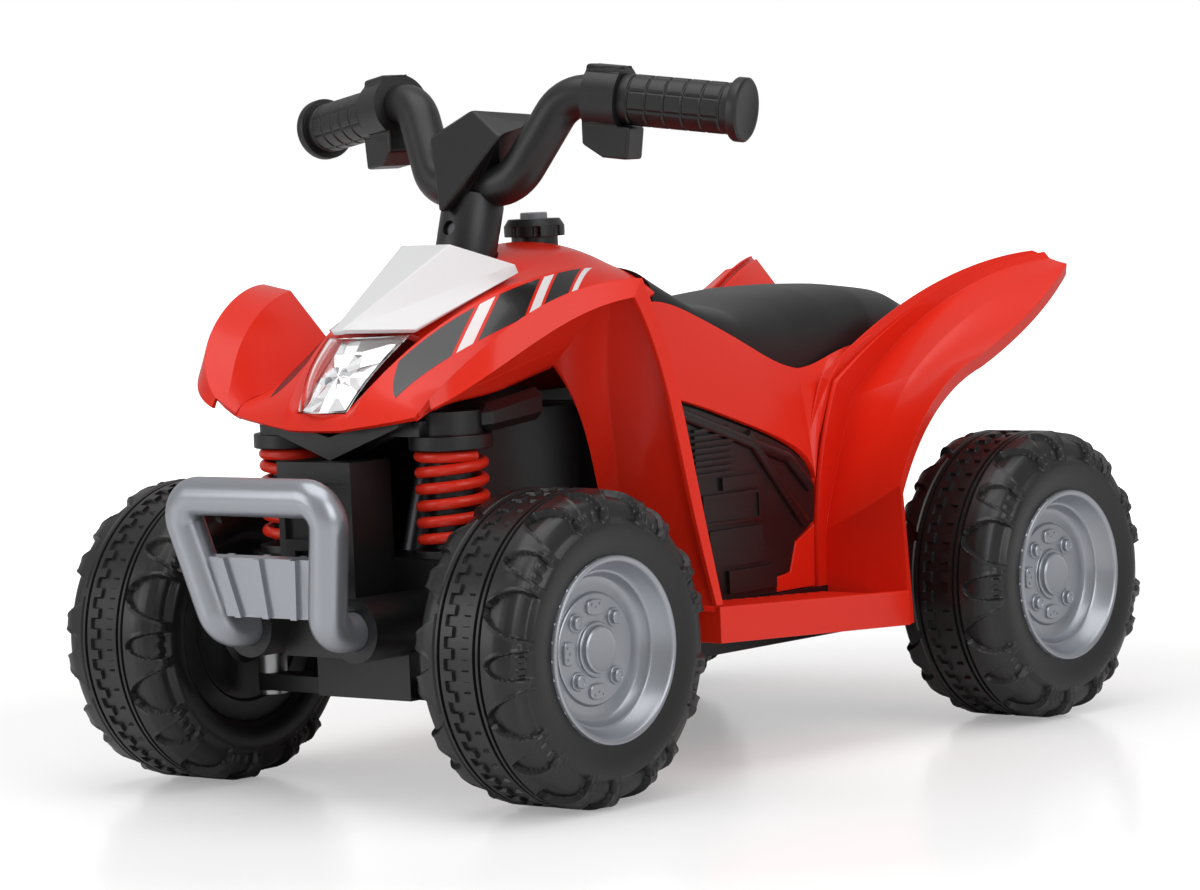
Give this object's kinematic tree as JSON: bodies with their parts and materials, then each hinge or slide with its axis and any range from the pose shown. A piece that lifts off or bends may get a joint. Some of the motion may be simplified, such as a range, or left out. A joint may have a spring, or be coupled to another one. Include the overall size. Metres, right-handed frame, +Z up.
{
  "type": "ride-on quad bike",
  "caption": "Toddler ride-on quad bike with petal fenders, steered front wheels, hand grips with push buttons, saddle, footboards and a driven rear wheel.",
  "frame": {"origin": "on the ground under the middle of the whole length, midway between the left and right wheels", "axes": "+Z up, -Y forward, +X to the rider's left"},
  "size_m": [0.414, 0.6499, 0.4326],
  "materials": {
    "red_plastic": "glossy moulded red",
    "white_plastic": "glossy moulded white",
    "black_plastic": "fine matt grain",
    "grip_plastic": "matt, grooved",
    "seat_plastic": "satin, hard moulded",
    "tyre_plastic": "satin, hard blow-moulded",
    "silver_plastic": "silver lacquer",
    "button_plastic": "satin grey",
    "clear_lens": "clear, faceted",
    "bright_reflector": "bright, faceted",
    "steel": "zinc plated",
    "battery_case": "plain"
  },
  "bodies": {
    "chassis": {"chassis_frame": "black_plastic", "axle_beam": "black_plastic", "kingpins": "steel", "front_frame": "black_plastic", "bumper": "silver_plastic", "column_tube": "steel", "hood_cover": "red_plastic", "nose_panel": "white_plastic", "headlight_lens": "clear_lens", "headlight_reflector": "bright_reflector", "filler_cap": "black_plastic", "front_fender_left": "red_plastic", "front_fender_right": "red_plastic", "side_panel_left": "red_plastic", "side_panel_right": "red_plastic", "rear_fender_left": "red_plastic", "rear_fender_right": "red_plastic", "footboard_left": "red_plastic", "footboard_right": "red_plastic", "gusset_left": "red_plastic", "gusset_right": "red_plastic", "tail_panel": "red_plastic", "engine_cover_left": "black_plastic", "engine_cover_right": "black_plastic", "seat": "seat_plastic", "shock_left": "black_plastic", "shock_right": "black_plastic", "spring_left": "red_plastic", "spring_right": "red_plastic", "rear_axle": "steel", "rear_axle_nuts": "steel", "axle_spacer": "black_plastic", "gearbox": "black_plastic", "motor": "steel", "battery": "battery_case"},
    "steering": {"steering_column": "steel", "handlebar": "black_plastic", "column_screw": "steel", "handlebar_pad": "black_plastic", "grip_left": "grip_plastic", "grip_right": "grip_plastic", "switch_housing_left": "black_plastic", "switch_housing_right": "black_plastic"},
    "tie_bar": {"tie_plate": "steel"},
    "knuckle_left": {"knuckle_left": "steel", "axle_nut_front_left": "steel"},
    "knuckle_right": {"knuckle_right": "steel", "axle_nut_front_right": "steel"},
    "wheel_front_left": {"tyre_front_left": "tyre_plastic", "hubcap_front_left": "silver_plastic"},
    "wheel_front_right": {"tyre_front_right": "tyre_plastic", "hubcap_front_right": "silver_plastic"},
    "wheel_rear_left": {"tyre_rear_left": "tyre_plastic", "hubcap_rear_left": "silver_plastic"},
    "wheel_rear_right": {"tyre_rear_right": "tyre_plastic", "hubcap_rear_right": "silver_plastic", "drive_sleeve": "black_plastic"},
    "throttle": {"throttle_button": "button_plastic"},
    "horn": {"horn_button": "button_plastic"},
    "start": {"start_button": "button_plastic"}
  },
  "joints": [
    {"name": "steer", "type": "hinge", "parent": "chassis", "child": "steering", "pos_m": [0, -0.11434, 0.33095], "axis": [0, 0.2924, 0.9563], "range_deg": [-18, 18]},
    {"name": "steer_left", "type": "hinge", "parent": "chassis", "child": "knuckle_left", "pos_m": [0.092, -0.2096, 0.093], "axis": [0, 0, 1], "range_deg": [-18, 18]},
    {"name": "steer_right", "type": "hinge", "parent": "chassis", "child": "knuckle_right", "pos_m": [-0.092, -0.2096, 0.093], "axis": [0, 0, 1], "range_deg": [-18, 18]},
    {"name": "tie_shift", "type": "slide", "parent": "chassis", "child": "tie_bar", "axis": [1, 0, 0], "range_m": [-0.0085, 0.0085]},
    {"name": "roll_front_left", "type": "hinge", "parent": "knuckle_left", "child": "wheel_front_left", "pos_m": [0.145, -0.2096, 0.093], "axis": [1, 0, 0], "continuous": true},
    {"name": "roll_front_right", "type": "hinge", "parent": "knuckle_right", "child": "wheel_front_right", "pos_m": [-0.145, -0.2096, 0.093], "axis": [1, 0, 0], "continuous": true},
    {"name": "roll_rear_left", "type": "hinge", "parent": "chassis", "child": "wheel_rear_left", "pos_m": [0.166, 0.2224, 0.093], "axis": [1, 0, 0], "continuous": true},
    {"name": "roll_rear_right", "type": "hinge", "parent": "chassis", "child": "wheel_rear_right", "pos_m": [-0.166, 0.2224, 0.093], "axis": [1, 0, 0], "continuous": true},
    {"name": "throttle_press", "type": "slide", "parent": "steering", "child": "throttle", "axis": [-0.2801, -0.96, 0], "range_m": [0, 0.0025], "stiffness_N_per_m": 400, "springref_m": -0.001},
    {"name": "horn_press", "type": "slide", "parent": "steering", "child": "horn", "axis": [0.2801, -0.96, 0], "range_m": [0, 0.0025], "stiffness_N_per_m": 400, "springref_m": -0.001},
    {"name": "start_press", "type": "slide", "parent": "chassis", "child": "start", "axis": [0, 0, -1], "range_m": [0, 0.0025], "stiffness_N_per_m": 400, "springref_m": -0.001}
  ],
  "couplings": [
    {"joint": "steer_left", "follows": "steer", "ratio": 1},
    {"joint": "steer_right", "follows": "steer", "ratio": 1},
    {"joint": "tie_shift", "follows": "steer", "m_per_rad": -0.02634}
  ]
}
